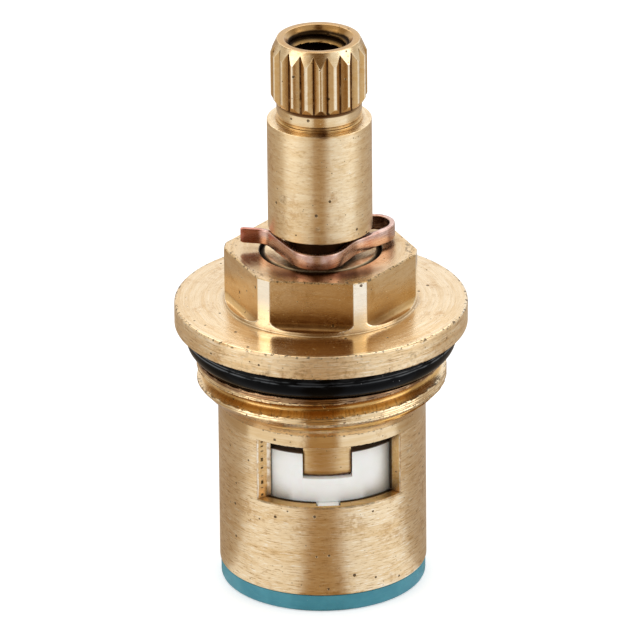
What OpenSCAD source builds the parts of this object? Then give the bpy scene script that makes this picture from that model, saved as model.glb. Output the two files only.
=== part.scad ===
// Quarter-turn ceramic disc cartridge for a half-inch tap.
// The spindle's axis is Z, the seal's end face lies at z = 0, and the two outlet windows face -Y and +Y.
// The spindle is drawn shut: its tang stands square to the windows and the moving disc closes both ports.

/* [Seal] */
// Height of the lip that the cartridge stands on
seal_lip_h = 1.5; // [1:0.1:2.5]
// Step from the barrel's side in to the lip's
seal_lip_inset = 0.1; // [0:0.05:0.5]
// Diameter of the water inlet through the seal
seal_hole_d = 10; // [8:0.2:11]

/* [Barrel] */
// Outer diameter of the barrel
barrel_d = 17.4; // [17:0.1:18]
// Thickness of the barrel's wall around the chamber that holds the discs
barrel_wall = 1.2; // [1.1:0.05:1.4]
// Length of the barrel below the thread
barrel_h = 14.6; // [14.2:0.1:17]
// Height of the window sills above the barrel's end
sill_h = 8.1; // [7.6:0.1:8.6]
// Height of each window
window_h = 5.4; // [4.9:0.1:5.8]
// Angle that each window spans
window_angle = 87; // [60:1:100]
// Turn of each window's middle from the keyways
window_turn = 1.5; // [-3:0.5:3]
// Angle by which each window's left wall leans in towards the chamber
window_lean = 4.6; // [0:0.2:8]
// Width of the keyways that hold the fixed disc
keyway_w = 2; // [1.6:0.1:3]
// Depth of the keyways in the chamber's wall
keyway_depth = 0.75; // [0.5:0.05:0.85]

/* [Thread and flange] */
// Major diameter of the pipe thread
thread_d = 20.955; // [20.455:0.1:21.455]
// Length of the threaded stem with its lead-in
thread_h = 4.25; // [4:0.05:8]
// Length of the lead-in cone below the thread
lead_h = 1.9; // [1:0.1:2.5]
// Diameter of the flange
flange_d = 24.5; // [24:0.5:30]
// Thickness of the flange
flange_h = 2.05; // [1.5:0.05:4]
// Outer diameter of the ring under the flange
flange_oring_d = 22.6; // [22.2:0.1:23.6]
// Section of the ring under the flange
flange_oring_section = 2.4; // [2:0.1:2.6]

/* [Hexagon] */
// Size across the flats
hex_af = 14.5; // [14.2:0.1:15]
// Diameter of the turned corners
hex_corner_d = 16.1; // [15.6:0.1:16.4]
// Height of the hexagon with its round foot
hex_h = 4.55; // [4:0.05:8]
// Height of the round foot that the flats run out on
hex_foot_h = 0.3; // [0.1:0.05:0.8]
// Radius of the cutter's corner at the foot of each flat
hex_runout = 1; // [0.8:0.1:1.5]
// Turn of the flats from the windows
hex_turn = -9.6; // [-30:0.1:30]

/* [Spindle] */
// Diameter over the spline's teeth
spline_d = 8; // [7.8:0.1:8.4]
// Diameter at the bottom of the spline's grooves
spline_root_d = 7.2; // [7.15:0.05:7.4]
// Number of spline teeth
spline_teeth = 20; // [18:1:24]
// Share of the teeth's pitch that each groove takes at the crests
spline_groove_ratio = 0.66; // [0.6:0.02:0.9]
// Turn of the teeth from the windows
spline_turn = -1.3; // [-9:0.1:9]
// Height of the splined head
head_h = 5.65; // [5:0.05:8]
// Diameter of the neck below the head
neck_d = 7.1; // [6.6:0.1:7.1]
// Height of the neck below the head
neck_h = 1.5; // [1:0.1:3]
// Diameter of the shaft between the neck and the clip
shaft_d = 8.7; // [8.4:0.1:9.4]
// Height of the shaft between the neck and the clip
shaft_h = 9.65; // [8:0.05:16]
// Diameter of the shank in the bonnet's bore
shank_d = 10.1; // [9.8:0.1:10.3]
// Diameter of the handle screw's thread
screw_d = 5; // [4:0.5:5]
// Depth of the handle screw's hole
screw_depth = 12; // [8:0.5:14]
// Section of the two rings on the shank
spindle_oring_section = 1.4; // [1.2:0.1:1.6]

/* [Clip] */
// Width of the strip, which stands on edge
clip_h = 1.3; // [1:0.05:1.4]
// Thickness of the strip
clip_t = 0.45; // [0.3:0.05:0.5]
// Diameter of the spindle in the clip's groove
clip_groove_d = 6; // [5.8:0.1:6.2]
// Height between the hexagon and the shaft
clip_groove_h = 2.1; // [2:0.1:2.6]
// Height at which the clip sits above the hexagon
clip_lift = 0.35; // [0.1:0.05:0.5]

/* [Discs and drive] */
// Thickness of the fixed disc
fixed_disc_h = 4; // [3.4:0.1:4.8]
// Thickness of the moving disc
moving_disc_h = 4.4; // [4:0.1:4.6]
// Depth of the moving disc's slot
slot_depth = 2.3; // [1.8:0.1:2.6]
// Width of the tang
tang_w = 4; // [3.6:0.1:4.4]
// Angle that each port of the fixed disc spans
port_angle = 66; // [50:1:70]
// Angle that the spindle turns between its stops
travel = 90; // [70:5:95]
// Angle that each stop wing of the spindle spans
wing_angle = 50; // [40:1:56]
// Height of the spindle's collar with its stop wings
collar_h = 2.4; // [2:0.1:3]
// Thickness of the thrust washer
washer_h = 0.8; // [0.6:0.1:1.2]

/* [Hidden] */
$fn = 96;
// Clearances: faces that bear on each other, running bores, keys in their ways and wings at their stops
face_gap = 0.03;
bore_gap = 0.05;
key_gap = 0.06;
stop_gap_angle = 1;
chamber_gap = 0.15;
// Small steps between neighbouring faces, room past the ends of slots and beds, and room around the collar
step = 0.1;
end_gap = 0.2;
wall_gap = 0.25;
// Broken edges, chamfers of the head, screw hole and shank, and the lands outside the spindle's rings
edge = 0.2;
head_chamfer = 0.55;
head_chamfer_h = 1.05;
mouth_chamfer = 0.4;
shank_chamfer = 0.3;
land = 1.2;
// Overlap of cutters past what they cut
past = 1;

// Stations along the axis, from the seal's end face upwards
z_barrel = seal_lip_h;
z_sill = z_barrel + sill_h;
z_lintel = z_sill + window_h;
z_thread = z_barrel + barrel_h;
z_seat = z_thread + thread_h;
z_flange = z_seat + flange_oring_section + 2 * face_gap;
z_hex = z_flange + flange_h;
z_top = z_hex + hex_h;
z_faces = z_sill - step;
z_slot = z_faces + face_gap + moving_disc_h - slot_depth;
z_tang = z_slot + end_gap;
z_collar = z_lintel;
z_washer = z_collar + collar_h + face_gap;
z_shoulder = z_washer + washer_h + face_gap;
z_shank_top = z_top - step;
z_shaft = z_top + clip_groove_h;
z_neck = z_shaft + shaft_h;
z_head = z_neck + neck_h;
z_end = z_head + head_h;

// Radii that fit together
barrel_r = barrel_d / 2;
chamber_r = barrel_r - barrel_wall;
disc_r = chamber_r - chamber_gap;
key_r = chamber_r + keyway_depth;
bore_r = shank_d / 2 + bore_gap;
seat_r = flange_oring_d / 2 - flange_oring_section - face_gap;
core_r = shank_d / 2 + wall_gap;
rib_r = core_r + wall_gap;
wing_r = disc_r - bore_gap;
tang_r = wing_r - wall_gap;
hub_r = 0.6 * tang_w;
port_in_r = 0.4 * tang_w;
port_out_r = seal_hole_d / 2 - edge;
oring_bed_r = bore_r - spindle_oring_section - 2 * face_gap;
oring_bed_h = spindle_oring_section + 2 * end_gap;
z_lower_oring = z_shoulder + land + oring_bed_h / 2;
z_upper_oring = z_shank_top - shank_chamfer - land - oring_bed_h / 2;

// Angles of the stops: each rib fills what the wings leave of a half turn
rib_angle = 180 - wing_angle - travel - 2 * stop_gap_angle;
rib_start = -90 + wing_angle / 2 + travel + stop_gap_angle;
// The moving disc's cut-outs leave lobes that cover the ports when shut
cover_angle = 17;
lobe_angle = port_angle + 2 * cover_angle;

// Runs of the clip in radii of its groove, and the angle that each bends through, from the end of its tail
clip_run_ratios = [0.467, 0.5, 1.267, 1.6, 0.567, 0.333, 1.017, 1.4, 2.267];
clip_run_angles = [0, -62, 0, 124, 0, -21, 0, 139, 0];
clip_start_ratios = [-2.217, 0.05];
clip_angle = -3.3;
clip_parts = 10;

// Ring sector between two radii, centred on an angle
module sector(r_in, r_out, z, h, centre, angle) {
    rotate([0, 0, centre - angle / 2])
        rotate_extrude(angle = angle)
            translate([r_in, z])
                square([r_out - r_in, h]);
}

// Round ring seal about the axis
module ring_seal(r, z, section) {
    rotate_extrude()
        translate([r, z])
            circle(d = section);
}

// Milling cut for one flat, with the cutter's round corner at the foot
module flat_cut() {
    a = hex_af / 2;
    z = z_hex + hex_foot_h;
    corner = [for (i = [0:8])
        let (t = 180 + i * 90 / 8)
        [a + hex_runout + hex_runout * cos(t), z + hex_runout + hex_runout * sin(t)]];
    rotate([90, 0, 0])
        linear_extrude(height = 2 * hex_corner_d, center = true)
            polygon(concat(corner, [[hex_corner_d, z], [hex_corner_d, z_top + past], [a, z_top + past]]));
}

// Turned outside of the bonnet, before the flats and windows are milled
module bonnet_blank() {
    thread_r = thread_d / 2;
    flange_r = flange_d / 2;
    corner_r = hex_corner_d / 2;
    rotate_extrude()
        polygon([
            [0, z_barrel],
            [barrel_r - edge, z_barrel],
            [barrel_r, z_barrel + edge],
            [barrel_r, z_thread],
            [thread_r, z_thread + lead_h],
            [thread_r, z_seat],
            [seat_r, z_seat],
            [seat_r, z_flange],
            [flange_r - edge, z_flange],
            [flange_r, z_flange + edge],
            [flange_r, z_hex - edge],
            [flange_r - edge, z_hex],
            [corner_r, z_hex],
            [corner_r, z_top],
            [0, z_top]
        ]);
}

function polar(r, angle) = [r * cos(angle), r * sin(angle)];

// Opening of one window towards +X: its right wall is radial and its left wall leans in
module window_cut() {
    half = window_angle / 2;
    outer = polar(barrel_r, -half);
    inner = polar(chamber_r, window_lean - half);
    translate([0, 0, z_sill])
        linear_extrude(height = window_h)
            polygon([
                2 * inner - outer,
                2 * outer - inner,
                polar(barrel_d, 0),
                polar(barrel_r + past, half),
                polar(chamber_r - past, half)
            ]);
}

// Chamber from below, less the two stop ribs that stay on its wall
module chamber_cut() {
    difference() {
        translate([0, 0, z_barrel - past])
            cylinder(r = chamber_r, h = z_shoulder - z_barrel + past);
        for (side = [0, 180])
            sector(rib_r, barrel_d, z_lintel + step, z_shoulder - z_lintel + past,
                   rib_start + rib_angle / 2 + side, rib_angle);
    }
}

module bonnet() {
    color([0.80, 0.66, 0.42])
    difference() {
        bonnet_blank();
        chamber_cut();
        translate([0, 0, z_shoulder - past])
            cylinder(r = bore_r, h = z_top - z_shoulder + 2 * past);
        translate([0, 0, z_top - edge])
            cylinder(r1 = bore_r, r2 = bore_r + edge + past, h = edge + past);
        for (side = [-90, 90])
            rotate([0, 0, side + window_turn])
                window_cut();
        translate([-keyway_w / 2, -key_r, z_barrel - past])
            cube([keyway_w, 2 * key_r, sill_h + past + window_h / 4]);
        for (i = [0:5])
            rotate([0, 0, -90 + hex_turn + 60 * i])
                flat_cut();
    }
}

module flange_oring() {
    color([0.06, 0.06, 0.06])
    ring_seal((flange_oring_d - flange_oring_section) / 2,
              z_flange - face_gap - flange_oring_section / 2,
              flange_oring_section);
}

// Turned outside of the spindle from its collar to its head
module spindle_blank() {
    shank_r = shank_d / 2;
    shaft_r = shaft_d / 2;
    head_r = spline_d / 2;
    beds = [for (z = [z_lower_oring, z_upper_oring]) [
        [shank_r, z - oring_bed_h / 2],
        [oring_bed_r, z - oring_bed_h / 2],
        [oring_bed_r, z + oring_bed_h / 2],
        [shank_r, z + oring_bed_h / 2]
    ]];
    rotate_extrude()
        polygon(concat(
            [
                [0, z_collar],
                [wing_r, z_collar],
                [wing_r, z_collar + collar_h],
                [shank_r, z_collar + collar_h]
            ],
            beds[0],
            beds[1],
            [
                [shank_r, z_shank_top - shank_chamfer],
                [shank_r - shank_chamfer, z_shank_top],
                [clip_groove_d / 2, z_shank_top],
                [clip_groove_d / 2, z_shaft],
                [shaft_r - edge / 2, z_shaft],
                [shaft_r, z_shaft + edge / 2],
                [shaft_r, z_neck - edge / 2],
                [shaft_r - edge / 2, z_neck],
                [neck_d / 2 - step, z_neck],
                [neck_d / 2 - step, z_neck + edge],
                [neck_d / 2, z_neck + edge],
                [neck_d / 2, z_head],
                [head_r, z_head + head_chamfer],
                [head_r, z_end - head_chamfer_h],
                [head_r - head_chamfer, z_end],
                [0, z_end]
            ]
        ));
}

// Grooves between the spline's teeth
module spline_grooves() {
    root_r = spline_root_d / 2;
    half_w = spline_groove_ratio * PI * spline_d / spline_teeth / 2;
    reach = (spline_d / 2 - root_r + past) / (spline_d / 2 - root_r);
    for (i = [0:spline_teeth - 1])
        rotate([0, 0, -90 + spline_turn + (i + 0.5) * 360 / spline_teeth])
            translate([0, 0, z_head - neck_h / 4])
                linear_extrude(height = head_h + neck_h)
                    polygon([
                        [root_r, 0],
                        [spline_d / 2 + past, -half_w * reach],
                        [spline_d / 2 + past, half_w * reach]
                    ]);
}

module spindle() {
    color([0.82, 0.68, 0.43])
    difference() {
        union() {
            spindle_blank();
            intersection() {
                translate([0, 0, z_tang])
                    cylinder(r = tang_r, h = z_collar - z_tang + collar_h / 2);
                translate([-tang_w / 2, -disc_r, z_tang])
                    cube([tang_w, 2 * disc_r, z_collar - z_tang + collar_h / 2]);
            }
        }
        for (side = [0, 180])
            sector(core_r, barrel_d, z_collar - past, collar_h + 2 * past, side, 180 - wing_angle);
        spline_grooves();
        translate([0, 0, z_end - screw_depth])
            cylinder(d = screw_d, h = screw_depth + past);
        translate([0, 0, z_end - mouth_chamfer])
            cylinder(r1 = screw_d / 2, r2 = screw_d / 2 + mouth_chamfer + past, h = mouth_chamfer + past);
    }
}

// Centre line of the clip: each run is walked in equal parts, and each point keeps its heading
function step_on(p, i) =
    let (part = clip_run_ratios[i] * clip_groove_d / 2 / clip_parts, turn = clip_run_angles[i] / clip_parts)
    [p[0] + part * cos(p[2] + turn / 2), p[1] + part * sin(p[2] + turn / 2), p[2] + turn];

function walk_run(p, i, n) = n == 0 ? [] : let (q = step_on(p, i)) concat([q], walk_run(q, i, n - 1));

function walk(p, i) =
    i == len(clip_run_ratios) ? [] :
    let (run = walk_run(p, i, clip_parts))
    concat(run, walk(run[clip_parts - 1], i + 1));

module spindle_clip() {
    first = [clip_start_ratios[0] * clip_groove_d / 2, clip_start_ratios[1] * clip_groove_d / 2, 0];
    line = concat([first], walk(first, 0));
    last = len(line) - 1;
    left = [for (p = line) [p[0] - clip_t / 2 * sin(p[2]), p[1] + clip_t / 2 * cos(p[2])]];
    right = [for (i = [0:last])
        let (p = line[last - i])
        [p[0] + clip_t / 2 * sin(p[2]), p[1] - clip_t / 2 * cos(p[2])]];
    color([0.72, 0.42, 0.32])
    rotate([0, 0, clip_angle])
        translate([0, 0, z_top + clip_lift])
            linear_extrude(height = clip_h)
                polygon(concat(left, right));
}

module upper_spindle_oring() {
    color([0.07, 0.07, 0.07])
    ring_seal(oring_bed_r + face_gap + spindle_oring_section / 2, z_upper_oring, spindle_oring_section);
}

module lower_spindle_oring() {
    color([0.07, 0.07, 0.07])
    ring_seal(oring_bed_r + face_gap + spindle_oring_section / 2, z_lower_oring, spindle_oring_section);
}

module thrust_washer() {
    color([0.90, 0.89, 0.85])
    difference() {
        translate([0, 0, z_washer])
            cylinder(r = disc_r, h = washer_h);
        translate([0, 0, z_washer - past])
            cylinder(r = shank_d / 2 + bore_gap, h = washer_h + 2 * past);
        for (side = [0, 180])
            sector(rib_r - key_gap, barrel_d, z_washer - past, washer_h + 2 * past,
                   rib_start + rib_angle / 2 + side, rib_angle + stop_gap_angle);
    }
}

module moving_disc() {
    color([0.94, 0.95, 0.95])
    difference() {
        translate([0, 0, z_faces + face_gap])
            cylinder(r = disc_r, h = moving_disc_h);
        translate([-tang_w / 2 - key_gap, -barrel_d, z_slot])
            cube([tang_w + 2 * key_gap, 2 * barrel_d, slot_depth + past]);
        for (side = [0, 180])
            sector(hub_r, barrel_d, z_faces - past, moving_disc_h + 2 * past, side, 180 - lobe_angle);
    }
}

module fixed_disc() {
    lug_w = keyway_w - 2 * key_gap;
    lug_r = key_r - key_gap;
    color([0.95, 0.95, 0.93])
    difference() {
        union() {
            translate([0, 0, z_faces - fixed_disc_h])
                cylinder(r = disc_r, h = fixed_disc_h);
            translate([-lug_w / 2, -lug_r, z_faces - fixed_disc_h])
                cube([lug_w, 2 * lug_r, fixed_disc_h]);
        }
        for (side = [-90, 90])
            sector(port_in_r, port_out_r, z_faces - fixed_disc_h - past, fixed_disc_h + 2 * past,
                   side, port_angle);
    }
}

module bottom_seal() {
    lip_r = barrel_r - seal_lip_inset;
    spigot_r = chamber_r - key_gap;
    seal_top = z_faces - fixed_disc_h - face_gap;
    color([0.28, 0.57, 0.63])
    rotate_extrude()
        polygon([
            [seal_hole_d / 2, 0],
            [lip_r - edge, 0],
            [lip_r, edge],
            [lip_r, z_barrel - face_gap],
            [spigot_r, z_barrel - face_gap],
            [spigot_r, seal_top],
            [seal_hole_d / 2, seal_top]
        ]);
}

bonnet();
flange_oring();
spindle();
spindle_clip();
upper_spindle_oring();
lower_spindle_oring();
thrust_washer();
moving_disc();
fixed_disc();
bottom_seal();
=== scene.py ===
"""Looks of the ceramic disc tap cartridge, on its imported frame. Sizes are in mm until a mesh is made."""

import math

import bmesh
import bpy
import numpy as np
from mathutils import Matrix, Vector


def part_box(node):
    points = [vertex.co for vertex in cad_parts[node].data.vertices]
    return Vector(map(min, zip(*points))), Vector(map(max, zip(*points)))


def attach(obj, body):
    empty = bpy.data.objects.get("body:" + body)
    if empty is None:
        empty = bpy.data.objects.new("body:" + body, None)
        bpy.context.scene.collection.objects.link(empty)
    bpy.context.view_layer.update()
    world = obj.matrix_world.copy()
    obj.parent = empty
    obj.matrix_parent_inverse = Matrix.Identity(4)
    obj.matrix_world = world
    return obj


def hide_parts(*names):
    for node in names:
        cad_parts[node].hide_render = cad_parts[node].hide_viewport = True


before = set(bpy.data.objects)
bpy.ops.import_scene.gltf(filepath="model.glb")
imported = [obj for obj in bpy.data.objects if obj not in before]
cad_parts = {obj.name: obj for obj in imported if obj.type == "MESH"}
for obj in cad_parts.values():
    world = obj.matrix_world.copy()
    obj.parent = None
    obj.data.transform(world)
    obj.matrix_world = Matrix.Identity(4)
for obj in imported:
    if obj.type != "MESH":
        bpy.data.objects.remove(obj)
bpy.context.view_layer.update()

MM = 0.001


def node_box(node):
    """Lowest and highest corners of a solid in mm."""
    return [[round(v / MM, 2) for v in corner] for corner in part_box(node)]


# Stations along the axis and radii, read from the solids where a box gives them
BONNET, RING, SPINDLE, CLIP = (node_box(n) for n in ("bonnet", "flange_oring", "spindle", "spindle_clip"))
MOVING, FIXED, SEAL = (node_box(n) for n in ("moving_disc", "fixed_disc", "bottom_seal"))
WASHER = node_box("thrust_washer")
FACE_GAP = 0.03
Z_BARREL, Z_TOP, Z_END = BONNET[0][2], BONNET[1][2], SPINDLE[1][2]
Z_SEAT, Z_FLANGE, Z_SHOULDER = RING[0][2] - FACE_GAP, RING[1][2] + FACE_GAP, WASHER[1][2] + FACE_GAP
Z_SILL, Z_LINTEL, Z_THREAD, Z_HEX = 9.6, 15.0, 16.1, 24.86
Z_SHANK, Z_SHAFT, Z_NECK, Z_HEAD = 29.31, 31.51, 41.16, 42.66
RING_SECTION = RING[1][2] - RING[0][2]
FLANGE_R, RING_R = BONNET[1][0], RING[1][0] - RING_SECTION / 2
SEAT_R = RING_R - RING_SECTION / 2 - FACE_GAP
BARREL_R, CHAMBER_R, THREAD_R, BORE_R = 8.7, 7.5, 10.4775, 5.1
DISC_R, KEY_R, SLOT_FLOOR = 7.35, 8.25, 11.63
HEX_A, HEX_R, HEX_FOOT, HEX_RUNOUT, HEX_TURN = 7.25, 8.05, 0.3, 0.6, -99.6
PITCH, CREST_Z, CREST_HALF = 1.814, 18.09, 0.44
WINDOW_TURN, WINDOW_HALF, WINDOW_LEAN = 1.5, 43.5, 3.6
END_R, TOOTH_R, ROOT_R, NECK_R, SHAFT_R, GROOVE_R, SHANK_R = 3.45, 4.0, 3.6, 3.55, 4.35, 3.0, 5.05
SCREW_R, SCREW_END, MOUTH_R, COLLAR_LOW, COLLAR_HIGH = 2.5, 36.4, 2.88, 15.0, 17.4
CLIP_TURN, CAMERA_TURN = -3.3, -3.3


# Meshes


def make(name, verts, faces, sharp=28):
    """Mesh object from points in mm, with doubled points merged and edges over the angle kept sharp."""
    mesh = bpy.data.meshes.new(name)
    mesh.from_pydata((np.asarray(verts, float) * MM).tolist(), [], faces)
    bm = bmesh.new()
    bm.from_mesh(mesh)
    bmesh.ops.remove_doubles(bm, verts=bm.verts, dist=2e-7)
    bmesh.ops.dissolve_degenerate(bm, edges=bm.edges, dist=2e-7)
    bmesh.ops.recalc_face_normals(bm, faces=bm.faces)
    bm.to_mesh(mesh)
    bm.free()
    mesh.shade_smooth()
    mesh.set_sharp_from_angle(angle=math.radians(sharp))
    obj = bpy.data.objects.new(name, mesh)
    bpy.context.scene.collection.objects.link(obj)
    return obj


def rounded(points, parts=4):
    """Profile points with each corner eased: every item is (r, z, ease)."""
    out = []
    for i, (r, z, ease) in enumerate(points):
        here = np.array([r, z], float)
        if ease == 0 or i in (0, len(points) - 1):
            out.append(here)
            continue
        ends = []
        for other in (points[i - 1], points[i + 1]):
            way = np.array(other[:2], float) - here
            size = np.linalg.norm(way)
            ends.append(here + way / size * min(ease, 0.49 * size))
        for t in np.linspace(0, 1, parts + 1):
            out.append((1 - t) ** 2 * ends[0] + 2 * t * (1 - t) * here + t * t * ends[1])
    return [tuple(p) for p in out]


def ring_points(rows, angles):
    """Points of a turned grid: each row is (radii, heights), as numbers or one for each angle."""
    a = np.radians(angles)
    points = np.empty((len(rows), len(a), 3))
    for i, (r, z) in enumerate(rows):
        points[i, :, 0] = r * np.cos(a)
        points[i, :, 1] = r * np.sin(a)
        points[i, :, 2] = z
    return points


def grid_faces(count, width, loop, keep=None):
    """Quads of a grid that closes around its axis, and over its rows if it loops."""
    faces = []
    for i in range(count if loop else count - 1):
        up = (i + 1) % count
        for j in range(width):
            if keep is None or keep[i, j]:
                k = (j + 1) % width
                faces.append((i * width + j, i * width + k, up * width + k, up * width + j))
    return faces


def turned(name, rows, angles, loop=False, sharp=28):
    points = ring_points(rows, angles)
    return make(name, points.reshape(-1, 3), grid_faces(len(rows), len(angles), loop), sharp)


def columns(step, extra=(), near=0.3):
    """Even angles, with some exact ones in place of those close to them."""
    extra = np.array([(e + 180) % 360 - 180 for e in extra])
    even = np.arange(-180, 180, step)
    if len(extra):
        gap = np.abs((even[:, None] - extra[None] + 180) % 360 - 180).min(1)
        even = even[gap > near]
    return np.sort(np.concatenate([even, extra]))


def bevel(obj, width, parts=2, over=35):
    """Rounds the edges of a mesh that turn by more than an angle."""
    bm = bmesh.new()
    bm.from_mesh(obj.data)
    limit = math.radians(over)
    edges = [e for e in bm.edges if len(e.link_faces) == 2 and e.calc_face_angle() > limit]
    bmesh.ops.bevel(bm, geom=edges, offset=width * MM, segments=parts, profile=0.5, affect="EDGES",
                    clamp_overlap=True)
    bm.to_mesh(obj.data)
    bm.free()
    obj.data.shade_smooth()
    obj.data.set_sharp_from_angle(angle=math.radians(32))


def loft(name, outlines):
    """Closed mesh through outlines of equally many points, each with its height."""
    n = len(outlines[0][0])
    verts = [(x, y, z) for outline, z in outlines for x, y in outline]
    faces = [tuple(range(n - 1, -1, -1)), tuple(range(len(verts) - n, len(verts)))]
    return make(name, verts, faces + grid_faces(len(outlines), n, False))


def prism(name, outline, low, high):
    return loft(name, [(outline, low), (outline, high)])


def arc(r, start, end, parts):
    turns = [math.radians(a) for a in np.linspace(start, end, parts)]
    return [(r * math.cos(a), r * math.sin(a)) for a in turns]


def cut(obj, *tools):
    """Takes the tools away from the object and removes them."""
    for tool in tools:
        mod = obj.modifiers.new("cut", "BOOLEAN")
        mod.operation, mod.solver, mod.object = "DIFFERENCE", "EXACT", tool
    bpy.context.view_layer.update()
    done = bpy.data.meshes.new_from_object(obj.evaluated_get(bpy.context.evaluated_depsgraph_get()))
    obj.modifiers.clear()
    obj.data = done
    for tool in tools:
        bpy.data.objects.remove(tool)
    return obj


# Bonnet


def thread_radius(angle, z, chips):
    """Right-hand pipe thread: lined and chipped crests, round grooves and a lead-in cone below."""
    depth, lead, chip_reach, line, line_depth = 0.85, 1.9, 0.045, 0.21, 0.022
    ease, narrowing, least_half, other_edge = 0.02, 0.17, 0.13, 31
    turn = (z - CREST_Z) / PITCH - (angle + 90) / 360
    height = (turn - np.floor(turn)) * PITCH
    under = np.clip(CREST_HALF - narrowing * (z - CREST_Z), least_half, CREST_HALF)
    high = PITCH - under
    x = np.clip((height - CREST_HALF) / (high - CREST_HALF), 0, 1)
    r = THREAD_R - ease - depth * 4 * x * (1 - x)
    r = r - np.where(x * (1 - x) > 0, 0, line_depth * (1 + np.cos(2 * np.pi * height / line)))
    r = r - chips * np.exp(-((height - CREST_HALF) / chip_reach) ** 2)
    r = r - np.roll(chips, other_edge) * np.exp(-((height - high) / chip_reach) ** 2)
    cone = BARREL_R + (THREAD_R - BARREL_R) * np.clip((z - Z_THREAD) / lead, 0, 1)
    return np.minimum(r, cone)


def hex_radius(angle, z):
    """Six milled flats with the cutter's round corner at their foot, and turned corners."""
    low = Z_HEX + HEX_FOOT
    rise = np.clip(z - low, 0, HEX_RUNOUT)
    a = HEX_A + HEX_RUNOUT - np.sqrt(HEX_RUNOUT ** 2 - (HEX_RUNOUT - rise) ** 2)
    off = (angle - HEX_TURN + 30) % 60 - 30
    return np.minimum(HEX_R, a / np.cos(np.radians(off))) if z > low else HEX_R + 0 * angle


def keyed_radius(angle):
    """Chamber wall with the two keyways of the fixed disc."""
    off = np.abs((np.abs(angle) - 90 + 180) % 360 - 180)
    return np.where(off < 7.0, KEY_R / np.cos(np.radians(off)), CHAMBER_R)


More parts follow.
